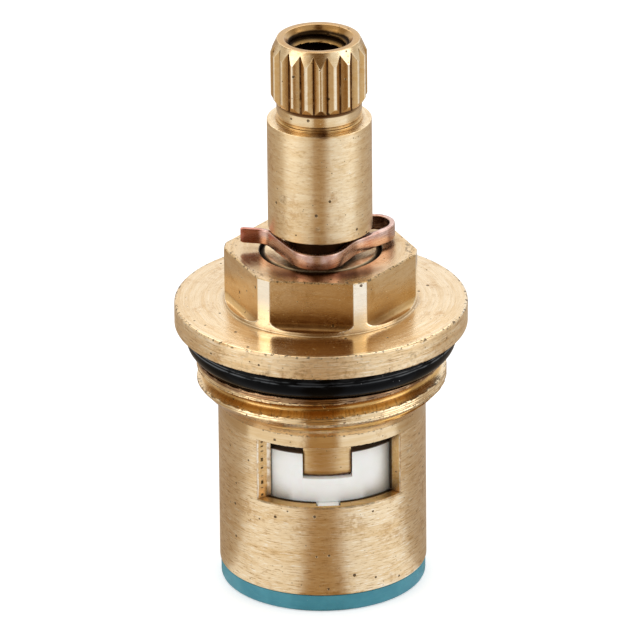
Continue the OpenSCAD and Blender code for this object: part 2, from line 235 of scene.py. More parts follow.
def build_bonnet():
    """One grid around the whole turned section, with the two windows cut through it.

    Heights that carry no size, such as those along plain walls, only space the grid's rows.
    """
    brk, ridge_r, ridge_share = 0.07, 7.75, 0.55
    brk_angle = math.degrees(brk / BARREL_R)
    edges = []
    for centre in (-90, 90):
        low, high = centre + WINDOW_TURN - WINDOW_HALF, centre + WINDOW_TURN + WINDOW_HALF
        edges += [low - brk_angle, low, low + WINDOW_LEAN, high, high + brk_angle]
    keys = [c + s * w for c in (-90, 90) for s in (-1, 1) for w in (6.91, 7.66)]
    half = math.degrees(math.acos(HEX_A / HEX_R))
    flats = [HEX_TURN + 60 * i + s * half for i in range(6) for s in (-1, 1)]
    angles = columns(0.8, edges + keys + flats)
    n = len(angles)
    rows = []

    def add(r, z):
        rows.append((r, z))
        return len(rows) - 1

    keyed = keyed_radius(angles)
    add(np.maximum(keyed, CHAMBER_R + 0.12), Z_BARREL)
    for r, z in rounded([(8.3, Z_BARREL, 0), (BARREL_R, Z_BARREL, 0.22), (BARREL_R, 4, 0)]):
        add(r, z)
    add(BARREL_R, 6.5)
    sides = np.linspace(Z_SILL, Z_LINTEL, 28)
    outer = [add(BARREL_R, Z_SILL - brk)]
    outer += [add(BARREL_R, z) for z in sides[1:-1]]
    outer.append(add(BARREL_R, Z_LINTEL + brk))
    nicks = np.clip(np.random.default_rng(5).normal(-0.06, 0.05, n), 0, 0.06)
    for z in np.arange(Z_THREAD, Z_SEAT - 0.1, 0.045):
        add(thread_radius(angles, z, nicks), z)
    for r, z in rounded([(THREAD_R - 0.02, Z_SEAT - 0.1, 0), (THREAD_R - 0.12, Z_SEAT, 0.06),
                         (SEAT_R, Z_SEAT, 0.1), (SEAT_R, Z_FLANGE, 0.25), (FLANGE_R, Z_FLANGE, 0.2),
                         (FLANGE_R, Z_HEX, 0.24), (HEX_R, Z_HEX, 0.1), (HEX_R, Z_HEX + HEX_FOOT, 0)], 5):
        add(r, z)
    runout = Z_HEX + HEX_FOOT + np.linspace(0.01, HEX_RUNOUT + 0.02, 20)
    for z in np.concatenate([runout, [27, 28, 29, Z_TOP - 0.09]]):
        add(hex_radius(angles, z), z)
    top = hex_radius(angles, Z_TOP)
    for share in (0, 0.3, 0.65, 1):
        add((top - 0.09) * (1 - share) + (BORE_R + 0.1) * share, Z_TOP)
    for r, z in rounded([(BORE_R + 0.1, Z_TOP, 0), (BORE_R, Z_TOP - 0.1, 0.04), (BORE_R, 24, 0),
                         (BORE_R, Z_SHOULDER, 0), (CHAMBER_R, Z_SHOULDER, 0.2),
                         (CHAMBER_R, Z_SHOULDER - 1.5, 0)])[1:]:
        add(r, z)
    inner = [add(CHAMBER_R, z) for z in sides[:0:-1]][::-1]
    inner.insert(0, add(keyed, Z_SILL))
    add(keyed, 5)
    add(keyed, Z_BARREL + 0.12)

    verts = ring_points(rows, angles).reshape(-1, 3).tolist()
    keep = np.ones((len(rows), n), bool)
    walls = []

    def column(angle):
        return int(np.argmin(np.abs(angles - angle)))

    def point(r, angle, z):
        verts.append((r * math.cos(math.radians(angle)), r * math.sin(math.radians(angle)), float(z)))
        return len(verts) - 1

    chips = np.abs(np.random.default_rng(8).normal(0, 0.035, len(sides) + n))
    last = len(sides) - 1
    for centre in (-90, 90):
        low = centre + WINDOW_TURN - WINDOW_HALF
        left, lean = column(low - brk_angle), column(low + WINDOW_LEAN)
        right = column(centre + WINDOW_TURN + WINDOW_HALF + brk_angle)
        keep[outer[0]:outer[-1], left:right] = False
        keep[inner[-1]:inner[0], lean:right - 1] = False
        loop = [(0, j) for j in range(left, right)] + [(k, right) for k in range(last)]
        loop += [(last, j) for j in range(right, left, -1)] + [(k, left) for k in range(last, 0, -1)]
        rim = {}
        for k, j in loop:
            c = min(max(j, left + 1), right - 1)
            if (k, c) not in rim:
                rim[k, c] = point(BARREL_R - brk - chips[k + c], angles[c], sides[k])
        ridge_turn = low + ridge_share * WINDOW_LEAN
        ridge = [point(ridge_r - chips[k], ridge_turn, sides[k]) for k in range(last + 1)]
        for (k, j), (k2, j2) in zip(loop, loop[1:] + loop[:1]):
            c, c2 = (min(max(v, left + 1), right - 1) for v in (j, j2))
            inside, inside2 = inner[k] * n + max(c, lean), inner[k2] * n + max(c2, lean)
            quads = [(outer[k] * n + j, outer[k2] * n + j2, rim[k2, c2], rim[k, c])]
            if j == left and j2 == left:
                quads += [(rim[k, c], rim[k2, c2], ridge[k2], ridge[k]),
                          (ridge[k], ridge[k2], inside2, inside)]
            else:
                quads.append((rim[k, c], rim[k2, c2], inside2, inside))
            walls += [face for face in (tuple(dict.fromkeys(quad)) for quad in quads) if len(face) > 2]
        for k in (0, last):
            walls.append((rim[k, left + 1], ridge[k], inner[k] * n + lean))
    return make("bonnet_turned", verts, grid_faces(len(rows), n, True, keep) + walls, 24)


# Spindle


def screw_hole_rows(angles):
    """Handle screw's hole from its drilled end up, with the thread's ridges and its mouth."""
    drill_r, drill_tip, pitch, ridge_h, mouth = 2.05, 1.1, 0.8, 0.40, Z_END - 0.42
    rows = [(0, SCREW_END - drill_tip), (drill_r, SCREW_END)]
    for z in np.arange(SCREW_END + 0.1, mouth, 0.05):
        turn = (z - SCREW_END) / pitch - angles / 360
        away = np.abs(turn - np.round(turn)) * 2
        fade = min(1, (mouth - z) / 0.5, (z - SCREW_END) / 0.6)
        rows.append((SCREW_R - ridge_h * np.clip(1.15 - away * 1.35, 0, 1) * fade, z))
    lip = [(SCREW_R, mouth, 0), (MOUTH_R, Z_END, 0.08), (END_R, Z_END, 0.06), (END_R + 0.05, Z_END - 0.1, 0)]
    return rows + rounded(lip)[:-1]


def spline_rows(flank):
    """Splined head: its chamfer, teeth and taper into the neck meet on exact lines in every column."""
    chamfer, taper = 1.2, 0.7
    high = Z_END - (flank - END_R) / (TOOTH_R - END_R) * chamfer
    low = Z_HEAD + (flank - NECK_R) / (TOOTH_R - NECK_R) * taper
    rows = []
    for t in (0.12, 0.5, 1):
        z = Z_END + t * (high - Z_END)
        rows.append((END_R + (Z_END - z) / chamfer * (TOOTH_R - END_R), z))
    rows += [(flank, high + t * (low - high)) for t in (0.03, 0.2, 0.4, 0.6, 0.8, 0.97)]
    for t in (0, 0.5, 0.97):
        z = low + t * (Z_HEAD - low)
        rows.append((NECK_R + (z - Z_HEAD) / taper * (TOOTH_R - NECK_R), z))
    return rows


def tooth_radius(off):
    """Spline at an angle from a groove's middle: straight flanks between narrow crests and roots."""
    crest_off, root_off = 7.85, 0.4
    return ROOT_R + (TOOTH_R - ROOT_R) * np.clip((off - root_off) / (crest_off - root_off), 0, 1)


def build_spindle():
    """Screw hole, splined head, neck, shaft, clip groove, shank with its ring grooves, and winged collar."""
    teeth, spline_turn, wing_half, wing_r, collar_r = 20, -91.3, 25, 7.3, 5.3
    relief_r, bead_r, lead, ring_groove_r, ring_room, ease = 3.42, 3.58, 0.43, 3.64, 0.2, 0.1
    pitch = 360 / teeth
    offsets = (-9, -7.85, -6.71, -5.56, -4.56, -2.48, -0.4, 0.4, 2.48, 4.56, 5.56, 6.71, 7.85)
    wings = [c + s * (wing_half + d) for c in (-90, 90) for s in (-1, 1) for d in (-0.02, 0.02)]
    angles = [spline_turn + (i + 0.5) * pitch + t for i in range(teeth) for t in offsets]
    angles = np.sort(np.concatenate([[(a + 180) % 360 - 180 for a in angles], wings]))
    flank = tooth_radius(np.abs((angles - spline_turn) % pitch - pitch / 2))
    rows = screw_hole_rows(angles) + spline_rows(flank)
    profile = [(NECK_R, Z_HEAD, 0), (NECK_R, Z_NECK + 0.5, 0.05), (relief_r, Z_NECK + 0.42, 0.04)]
    profile += [(relief_r, Z_NECK + 0.24, 0.04), (bead_r, Z_NECK + 0.16, 0.04), (bead_r, Z_NECK, 0.04)]
    profile += [(SHAFT_R, Z_NECK, 0.08), (SHAFT_R, Z_SHAFT, 0.1), (GROOVE_R, Z_SHAFT, 0.1)]
    profile += [(GROOVE_R, Z_SHANK, 0.1), (SHANK_R - lead, Z_SHANK, 0.05), (SHANK_R, Z_SHANK - lead, 0.05)]
    for ring in ("upper_spindle_oring", "lower_spindle_oring"):
        box = node_box(ring)
        low, high = box[0][2] - ring_room, box[1][2] + ring_room
        profile += [(SHANK_R, high, 0.05), (ring_groove_r, high, 0.1)]
        profile += [(ring_groove_r, low, 0.1), (SHANK_R, low, 0.05)]
    rows += rounded(profile + [(SHANK_R, COLLAR_HIGH + 0.05, 0)])
    off = np.abs((np.abs(angles) - 90 + 180) % 360 - 180)
    wing = np.where(off < wing_half, wing_r, collar_r)
    rows += [(wing - ease, COLLAR_HIGH), (wing, COLLAR_HIGH - ease), (wing, COLLAR_LOW + ease)]
    rows += [(wing - ease, COLLAR_LOW), (0, COLLAR_LOW)]
    return turned("spindle_turned", rows, angles, sharp=24)


def build_tang():
    """Drive tang with the chamfer at its end."""
    low, high, r, half_w, chamfer = SLOT_FLOOR + FACE_GAP, COLLAR_LOW + 0.05, 7.05, 2.0, 0.3
    levels = ((low, chamfer), (low + 0.02, chamfer - 0.05), (low + chamfer, 0.02), (low + 0.36, 0), (high, 0))
    outlines = []
    for z, inset in levels:
        half = math.degrees(math.asin((half_w - 0.25 * inset) / (r - inset)))
        front, back = (arc(r - inset, side - half, side + half, 13) for side in (-90, 90))
        outlines.append((front + back, z))
    obj = loft("spindle_tang", outlines)
    bevel(obj, 0.06, 2, 40)
    return obj


def build_clip():
    """Spring strip on edge, walked along its runs and bends, with its ends sprung up a little."""
    half_t, half_h, soft, drop, end_size = 0.225, 0.65, 0.1, 0.12, 0.86
    ratios = (0.467, 0.5, 1.267, 1.6, 0.567, 0.333, 1.017, 1.4, 2.267)
    turns = (0, -62, 0, 124, 0, -21, 0, 139, 0)
    x, y, head = -2.217 * GROOVE_R, 0.05 * GROOVE_R, 0.0
    line = [(x, y, head)]
    for ratio, turn in zip(ratios, turns):
        parts = 14 if turn else 6
        for _ in range(parts):
            d, t = ratio * GROOVE_R / parts, math.radians(turn) / parts
            x, y, head = x + d * math.cos(head + t / 2), y + d * math.sin(head + t / 2), head + t
            line.append((x, y, head))
    section = []
    for side, rise, start in ((1, 1, 0), (-1, 1, 90), (-1, -1, 180), (1, -1, 270)):
        for a in np.radians(np.linspace(start, start + 90, 4)):
            section.append((side * (half_t - soft) + soft * math.cos(a),
                            rise * (half_h - soft) + soft * math.sin(a)))
    n = len(section)
    cos, sin = math.cos(math.radians(CLIP_TURN)), math.sin(math.radians(CLIP_TURN))
    middle = (CLIP[0][2] + CLIP[1][2]) / 2 - drop
    verts = []
    for i, (px, py, h) in enumerate(line):
        grow = end_size if i in (0, len(line) - 1) else 1
        lift = 0.0055 * px * px - 0.016 * px
        for s, v in section:
            qx, qy = px - s * grow * math.sin(h), py + s * grow * math.cos(h)
            verts.append((qx * cos - qy * sin, qx * sin + qy * cos, middle + lift + v * grow))
    faces = [tuple(range(n - 1, -1, -1)), tuple(range((len(line) - 1) * n, len(line) * n))]
    return make("clip_strip", verts, faces + grid_faces(len(line), n, False), 40)


# Discs and seals


def build_moving_disc():
    """Disc with two cut-outs beside its waist, and the slot that takes the tang."""
    waist, half, slot_w, reach = 2.75, 40, 2.06, 9
    outline = arc(DISC_R, half - 180, -half, 61) + arc(waist, -half, half, 25)
    outline += arc(DISC_R, half, 180 - half, 61) + arc(waist, 180 - half, 180 + half, 25)
    obj = prism("moving_disc_ceramic", outline, MOVING[0][2], MOVING[1][2])
    slot = [(-slot_w, -reach), (slot_w, -reach), (slot_w, reach), (-slot_w, reach)]
    cut(obj, prism("slot_tool", slot, SLOT_FLOOR, MOVING[1][2] + 1))
    bevel(obj, 0.16, 3, 40)
    return obj


def build_fixed_disc():
    """Disc with two lugs for the bonnet's keyways and two ports for the water."""
    lug_w, lug_r, port_in, port_out, port_half = 0.94, FIXED[1][1], 1.6, 4.8, 33
    lug = math.degrees(math.asin(lug_w / DISC_R))
    outline = []
    for side in (1, -1):
        outline += [(lug_w * side, lug_r * side), (-lug_w * side, lug_r * side)]
        outline += arc(DISC_R, 90 * side + lug, 90 * side + 180 - lug, 121)
    obj = prism("fixed_disc_ceramic", outline, FIXED[0][2], FIXED[1][2])
    tools = []
    for side in (-90, 90):
        port = arc(port_out, side - port_half, side + port_half, 31)
        port += arc(port_in, side + port_half, side - port_half, 13)
        tools.append(prism("port_tool", port, FIXED[0][2] - 1, FIXED[1][2] + 1))
    cut(obj, *tools)
    bevel(obj, 0.12, 2, 40)
    return obj


def build_seal():
    """Ring with a lip under the barrel and a spigot in its chamber."""
    hole, lip, spigot = 5.0, SEAL[1][0], CHAMBER_R - 0.06
    under, top = Z_BARREL - FACE_GAP, SEAL[1][2]
    rows = rounded([(hole, 3, 0), (hole, 0, 0.3), (lip, 0, 0.3), (lip, under, 0.12), (spigot, under, 0.1),
                    (spigot, top, 0.3), (hole, top, 0.3), (hole, 3.2, 0)], 5)
    return turned("seal_moulded", rows, columns(1.5), loop=True, sharp=40)


def build_oring(name, r, z, section):
    """Moulded ring with the faint seam of its mould."""
    rows = []
    for a in np.linspace(0, 2 * math.pi, 48, endpoint=False):
        s = section / 2 - 0.004 + 0.012 * math.exp(-((abs(a - math.pi) - math.pi) / 0.07) ** 2)
        rows.append((r + s * math.cos(a), z + s * math.sin(a)))
    return turned(name, rows, columns(1.0), loop=True, sharp=60)


# Node trees


class Nodes:
    """Short calls to wire a node tree."""

    def __init__(self, tree, coords):
        self.tree = tree
        self.coords = tree.nodes.new("ShaderNodeTexCoord").outputs[coords]

    def put(self, value, socket):
        if isinstance(value, bpy.types.NodeSocket):
            self.tree.links.new(value, socket)
        else:
            colour = socket.type == "RGBA" and isinstance(value, tuple) and len(value) == 3
            socket.default_value = (*value, 1) if colour else value

    def add(self, kind, inputs=(), **settings):
        node = self.tree.nodes.new(kind)
        for key, value in settings.items():
            setattr(node, key, value)
        for key, value in dict(inputs).items():
            self.put(value, node.inputs[key])
        return node

    def math(self, operation, a, b=0.0, c=0.0, clamp=False):
        node = self.add("ShaderNodeMath", {0: a, 1: b, 2: c}, operation=operation, use_clamp=clamp)
        return node.outputs[0]

    def times(self, *factors):
        out = factors[0]
        for factor in factors[1:]:
            out = self.math("MULTIPLY", out, factor)
        return out

    def most(self, *values):
        out = values[0]
        for value in values[1:]:
            out = self.math("MAXIMUM", out, value)
        return out

    def rest(self, share):
        """What a share leaves of 1."""
        return self.math("SUBTRACT", 1.0, share)

    def vector(self, operation, a, b=(0, 0, 0), scale=1.0):
        node = self.add("ShaderNodeVectorMath", {0: a, 1: b}, operation=operation)
        if operation == "SCALE":
            node.inputs["Scale"].default_value = scale
        return node.outputs["Value" if operation in ("LENGTH", "DOT_PRODUCT") else "Vector"]

    def step(self, value, low, high, to_low=0.0, to_high=1.0):
        inputs = {0: value, 1: low, 2: high, 3: to_low, 4: to_high}
        return self.add("ShaderNodeMapRange", inputs, interpolation_type="SMOOTHSTEP").outputs[0]

    def band(self, value, low, high, soft):
        """1 between two values, with soft ends."""
        return self.times(self.step(value, low - soft, low), self.step(value, high, high + soft, 1.0, 0.0))

    def noise(self, vector, scale, detail=4.0, rough=0.55, w=None):
        inputs = {"Vector": vector, "Scale": scale, "Detail": detail, "Roughness": rough}
        if w is not None:
            inputs["W"] = w
        dimensions = "3D" if w is None else "4D"
        return self.add("ShaderNodeTexNoise", inputs, noise_dimensions=dimensions).outputs[0]

    def mix(self, share, a, b):
        return self.add("ShaderNodeMix", {0: share, 6: a, 7: b}, data_type="RGBA").outputs[2]

    def ramp(self, value, stops):
        """Smooth tones over a share from 0 to 1."""
        node = self.add("ShaderNodeValToRGB", {0: value})
        node.color_ramp.interpolation = "EASE"
        while len(node.color_ramp.elements) < len(stops):
            node.color_ramp.elements.new(0.5)
        for element, (where, tone) in zip(node.color_ramp.elements, stops):
            element.position, element.color = where, (*tone, 1)
        return node.outputs[0]


class Surface(Nodes):
    """Node tree of one material, with the place on the object in mm."""

    def __init__(self, name):
        self.material = bpy.data.materials.new(name)
        self.material.use_nodes = True
        super().__init__(self.material.node_tree, "Object")
        self.shader = self.tree.nodes["Principled BSDF"]
        self.place = self.vector("SCALE", self.coords, scale=1 / MM)
        self.flat = self.vector("MULTIPLY", self.place, (1, 1, 0))
        self.r = self.vector("LENGTH", self.flat)
        split = self.add("ShaderNodeSeparateXYZ", {0: self.place})
        self.x, self.y, self.z = (split.outputs[i] for i in range(3))

    def lathe(self, around, across, detail, rough):
        """Noise that runs around the axis: coarse along the turn and fine across it."""
        way = self.vector("SCALE", self.vector("NORMALIZE", self.flat), scale=around)
        height = self.vector("SCALE", self.vector("MULTIPLY", self.place, (0, 0, 1)), scale=across)
        return self.noise(self.vector("ADD", way, height), 1.0, detail, rough, self.times(self.r, across))

    def pits(self, scale, share, size):
        """Scattered small round pits: 1 inside a pit."""
        cell = self.add("ShaderNodeTexVoronoi", {"Vector": self.place, "Scale": scale}, feature="F1")
        tint = self.add("ShaderNodeSeparateColor", {0: cell.outputs["Color"]})
        chosen = self.math("GREATER_THAN", tint.outputs[0], 1 - share)
        reach = self.math("MULTIPLY_ADD", tint.outputs[1], size * 0.7, size * 0.5)
        inside = self.math("SUBTRACT", reach, cell.outputs["Distance"])
        return self.times(chosen, self.step(inside, 0.0, size * 0.35))

    def recess(self, reach):
        """1 deep in a corner or crevice, 0 on open surfaces."""
        node = self.add("ShaderNodeAmbientOcclusion", {"Distance": reach * MM}, samples=6)
        return self.rest(node.outputs["AO"])

    def bump(self, height, distance, strength=1.0, normal=None):
        inputs = {"Height": height, "Distance": distance * MM, "Strength": strength}
        if normal is not None:
            inputs["Normal"] = normal
        return self.add("ShaderNodeBump", inputs).outputs[0]

    def set(self, **values):
        for key, value in values.items():
            self.put(value, self.shader.inputs[key.replace("_", " ")])
        return self.material


# Materials


def thread_specks(n):
    """Burrs and chips along the edges of the thread's crests and of the lead-in."""
    turn = n.math("MULTIPLY_ADD", n.math("ARCTAN2", n.y, n.x), -0.5 / math.pi, -CREST_Z / PITCH - 0.25)
    turn = n.math("MULTIPLY_ADD", n.z, 1 / PITCH, turn)
    height = n.times(n.math("FRACT", turn), PITCH)
    edges = n.most(n.band(height, CREST_HALF - 0.06, CREST_HALF + 0.06, 0.05),
                   n.band(height, PITCH - CREST_HALF - 0.05, PITCH - 0.1, 0.06))
    edges = n.times(edges, n.band(n.z, Z_THREAD + 0.2, Z_SEAT - 0.1, 0.05))
    edges = n.most(edges, n.band(n.z, Z_THREAD - 0.05, Z_THREAD + 0.22, 0.05))
    specks = n.step(n.noise(n.place, 4.6, 4.0, 0.7), 0.53, 0.61)
    return n.times(edges, specks, n.step(n.r, BARREL_R - 0.2, BARREL_R - 0.1))


def window_marks(n):
    """Painted highlights on the burrs and inner face of the windows' walls; dark chatter dots, painted shade
    on the right wall's inner edge and in the sill's inner corner, and dark dashes along the sill's outer
    edge.
    """
    span = n.band(n.z, Z_SILL + 0.15, Z_LINTEL - 0.1, 0.1)
    left = n.math("GREATER_THAN", n.times(n.x, n.y), 0.0)
    # Painted highlight on the left wall's inner face, and glints along the windows' burred outer edges
    lit_facet = n.times(left, n.band(n.r, CHAMBER_R + 0.04, CHAMBER_R + 0.20, 0.03))
    burr_glint = n.band(n.r, BARREL_R - 0.16, BARREL_R - 0.04, 0.03)
    burr_glint = n.times(burr_glint, n.step(n.noise(n.place, 2.2, 3.0, 0.6), 0.40, 0.52))
    dots = n.step(n.noise(n.vector("MULTIPLY", n.place, (0, 0, 1)), 2.4, 3.0, 0.75), 0.49, 0.57)
    chatter = n.times(left, dots, n.band(n.r, BARREL_R - 0.58, BARREL_R - 0.40, 0.05))
    shadow = n.times(n.rest(left), n.band(n.r, CHAMBER_R - 0.05, CHAMBER_R + 0.22, 0.06))
    # Painted shade in the sill's inner corner, next to the ceramic
    line = n.times(n.band(n.z, Z_SILL - 0.3, Z_SILL + 0.02, 0.02),
                   n.band(n.r, CHAMBER_R - 0.1, CHAMBER_R + 0.25, 0.12), 0.9)
    rim = n.times(n.band(n.z, Z_SILL - 0.14, Z_SILL - 0.01, 0.03),
                  n.step(n.r, BARREL_R - 0.2, BARREL_R - 0.1))
    rim = n.times(rim, n.band(n.x, -6.2, 6.2, 0.3), n.step(n.noise(n.place, 1.1, 3.0, 0.6), 0.35, 0.65), 0.5)
    painted_highlight = n.times(span, n.most(lit_facet, burr_glint))
    return painted_highlight, n.most(n.times(span, n.most(chatter, shadow), 0.85), line, rim)


def edge_specks(n):
    """Dark dashes of dirt along the flange's edges and the hexagon's upper edge."""
    flange = n.times(n.band(n.r, FLANGE_R - 0.22, FLANGE_R - 0.03, 0.04),
                     n.band(n.z, Z_FLANGE, Z_HEX + 0.02, 0.02))
    hexagon = n.times(n.band(n.z, Z_TOP - 0.13, Z_TOP - 0.01, 0.03),
                      n.step(n.r, HEX_A - 0.25, HEX_A - 0.15))
    dashes = n.step(n.noise(n.place, 2.7, 4.0, 0.65), 0.53, 0.60)
    return n.times(dashes, n.most(flange, hexagon))


def bonnet_marks(n):
    """Polish, painted highlights on edges and the windows' walls, amber and brown painted shade and
    reflections, and near-black dirt, chips and painted shade; no hollow stays clear.
    """
    hexagon = n.band(n.z, Z_HEX + 0.2, Z_TOP, 0.1)
    flats = n.times(hexagon, n.step(n.r, HEX_R - 0.01, HEX_R - 0.08))
    front = n.step(n.y, -3.0, -6.2)
    polish = n.most(n.band(n.z, Z_LINTEL + 0.05, Z_SEAT, 0.05), n.times(n.band(n.z, Z_HEX, Z_TOP, 0.1), 0.65))
    polish = n.math("SUBTRACT", polish, n.times(n.step(n.r, FLANGE_R - 0.1, FLANGE_R - 0.02), 0.6))
    # The first value holds the windows' painted highlights. The second holds their dark dots, painted shade
    # and sill lines.
    burrs, wall_dirt_and_shade = window_marks(n)
    # Painted highlight on the hexagon's turned corners
    corners = n.times(hexagon, n.band(n.r, HEX_R - 0.01, HEX_R + 0.02, 0.02), 0.7)
    painted_highlight = n.most(corners, n.times(burrs, 0.8))

    # Painted reflection and shade of the clip on the hexagon's top, strongest at the front
    ring = n.times(n.step(n.z, Z_TOP - 0.1, Z_TOP - 0.02), n.step(n.r, HEX_R - 0.05, BORE_R + 0.7),
                   n.step(front, 0, 1, 0.15, 1))
    # Painted shade: amber growing towards the foot of the hexagon's flats
    foot = n.times(flats, n.step(n.z, Z_TOP - 0.5, Z_HEX + 0.5, 0.3, 0.9), n.step(front, 0, 1, 0.9, 1))
    # Painted reflection: warm amber in the thread's grooves
    groove = n.times(n.band(n.z, Z_THREAD + 0.9, Z_SEAT - 0.3, 0.1), n.band(n.r, 9.4, 9.9, 0.3))
    # Painted shade: amber on the sill's top and on the windows' walls
    sill = n.times(n.band(n.z, Z_SILL - 0.02, Z_SILL + 0.02, 0.02),
                   n.band(n.r, CHAMBER_R, BARREL_R - 0.1, 0.04), 0.9)
    walls = n.times(n.band(n.z, Z_SILL + 0.05, Z_LINTEL - 0.05, 0.05),
                    n.band(n.r, CHAMBER_R + 0.30, BARREL_R - 0.18, 0.05), 0.7)
    # Painted reflection of the hexagon's front flat on the flange top in front of it
    apron_reflection = n.times(n.band(n.z, Z_HEX - 0.05, Z_HEX + 0.05, 0.02), n.band(n.r, 8.4, 11.6, 0.3),
                    n.band(n.x, -2.2, 3.0, 1.0), n.step(n.y, -6.0, -9.0), 0.8)
    amber = n.times(n.most(foot, groove, sill, ring, walls, apron_reflection), 0.7)

    patch = n.step(n.noise(n.place, 0.9, 4.0, 0.55), 0.3, 0.6, 0.75, 1.0)
    # Painted shadow of the O-ring on the thread's top crest
    shadow_under_ring = n.times(n.band(n.z, Z_SEAT - 0.5, Z_SEAT + 0.1, 0.15), n.step(n.r, 9.0, 9.2), 0.8)
    # Painted shade: brown on the lower part of the front flats
    low = n.times(flats, front, n.step(n.z, Z_HEX + 2.2, Z_HEX + 0.5), 0.68)
    brown = n.times(n.most(n.times(ring, 0.95), shadow_under_ring, low), patch)

    # Painted shade in the gap at the top of the hexagon's hole
    bore_shade = n.times(n.step(n.r, BORE_R + 0.06, BORE_R), n.step(n.z, 26, 27), 0.95)
    specks = n.times(n.most(thread_specks(n), edge_specks(n)), 0.75)
    return polish, painted_highlight, amber, brown, n.most(bore_shade, wall_dirt_and_shade, specks), 0.0


def spindle_marks(n):
    """Polish, painted highlights on the crests, amber and brown painted light and shade, and near-black
    painted shade; the lit ridges in the screw hole stay clear.
    """
    head = n.step(n.z, Z_HEAD - 0.2, Z_HEAD)
    polish = n.times(n.band(n.z, Z_NECK + 0.02, Z_END, 0.05), 0.7)
    # Painted highlight on the teeth's crests
    painted_highlight = n.times(head, n.step(n.r, TOOTH_R - 0.06, TOOTH_R - 0.01), 0.4)
    chamfer_slope, tang_foot, lit_from, lit_to = 2.18, 12.3, 40.0, 43.5
    cone = n.math("MULTIPLY_ADD", n.math("SUBTRACT", n.r, END_R), chamfer_slope, n.z)
    below = n.times(head, n.step(cone, Z_END - 0.02, Z_END - 0.14))
    flanks = n.times(below, n.step(n.r, TOOTH_R - 0.02, TOOTH_R - 0.10))

    # Amber tone over the tang, with painted shade stronger at its end chamfer
    tang = n.times(n.step(n.z, COLLAR_LOW + 0.2, COLLAR_LOW - 0.1),
                   n.step(n.z, tang_foot, tang_foot - 0.2, 0.5, 0.9))
    # Painted shade at the neck's foot
    foot = n.times(n.band(n.z, Z_NECK - 0.05, Z_NECK + 0.30, 0.12),
                   n.step(n.r, NECK_R + 0.2, NECK_R + 0.05), 0.8)
    # Painted light: amber on the ridges inside the dark screw hole
    ridges = n.times(n.step(n.r, SCREW_R - 0.03, SCREW_R - 0.2), n.step(n.z, lit_from, lit_to))
    # Painted light and shade: amber, with brown over it, on the far half of the mouth's chamfer
    back = n.times(n.step(n.z, Z_END - 0.6, Z_END - 0.4), n.step(n.r, MOUTH_R + 0.07, MOUTH_R - 0.03),
                   n.step(n.y, -0.5, 2.0))
    # Flanks: painted shade between the teeth
    amber = n.times(n.most(n.times(flanks, 0.8), tang, foot, ridges, back), 0.7)

    # Darker brown in the spline roots, broken up by noise
    roots = n.times(below, n.band(n.r, ROOT_R - 0.02, ROOT_R + 0.025, 0.035),
                    n.step(n.noise(n.place, 1.4, 3.0, 0.6), 0.3, 0.5, 0.5, 0.95))
    shade = n.times(flanks, n.step(n.math("ABSOLUTE", n.x), 3.2, 1.4, 0.25, 0.36))
    # Painted shadow under the head, at the front
    end = n.times(n.band(n.z, Z_HEAD - 0.08, Z_HEAD + 0.18, 0.12), n.step(n.y, -1.5, -3.0), 0.85)
    # Painted shade on the tang's end
    tang_end_shade = n.times(n.step(n.z, tang_foot - 0.05, tang_foot - 0.25), 0.32)
    # Painted shade at the front of the neck's foot
    front_shade_spot = n.times(n.band(n.x, 0.05, 0.15, 0.6), n.step(n.y, -3.0, -3.5),
                   n.band(n.z, Z_NECK, Z_NECK + 0.1, 0.3))
    front_shade_spot = n.times(front_shade_spot, n.step(n.noise(n.place, 2.3, 4.0, 0.65), 0.30, 0.60, 0.4, 1.0), 0.8)
    # Painted shade in the clip's groove under the shaft
    clip_groove_shade = n.times(n.band(n.z, Z_SHANK + 0.05, Z_SHAFT - 0.02, 0.03),
                          n.step(n.r, SHAFT_R - 0.07, SHAFT_R - 0.25))
    brown = n.most(roots, end, shade, n.times(clip_groove_shade, 0.9), n.times(back, 0.55), tang_end_shade, front_shade_spot)

    # Painted shade inside the screw hole, darker deeper down, with a ragged edge at its mouth
    ragged = n.times(n.math("SUBTRACT", n.noise(n.place, 0.8, 3.0, 0.6), 0.5), 0.7)
    mouth = n.step(n.math("ADD", n.z, ragged), Z_END - 0.10, Z_END - 0.40)
    deep = n.most(n.step(n.r, SCREW_R - 0.36, SCREW_R - 0.06, 0.10, 0.97),
                  n.step(n.z, Z_END - 1.35, Z_END - 1.75))
    hole = n.times(n.step(n.r, SCREW_R + 0.12, SCREW_R), mouth, deep)
    # Painted shade in the gap around the shank, below the clip
    gap = n.times(n.step(n.r, SHANK_R - 0.5, SHANK_R - 0.25),
                  n.band(n.z, Z_SHANK - 2.5, Z_SHANK + 0.05, 0.1), 0.9)
    # Painted shade, and the darker spline roots
    dirt = n.most(hole, gap, n.times(clip_groove_shade, 0.6), n.times(roots, 0.6), n.times(end, 0.45))
    return polish, painted_highlight, amber, brown, dirt, ridges


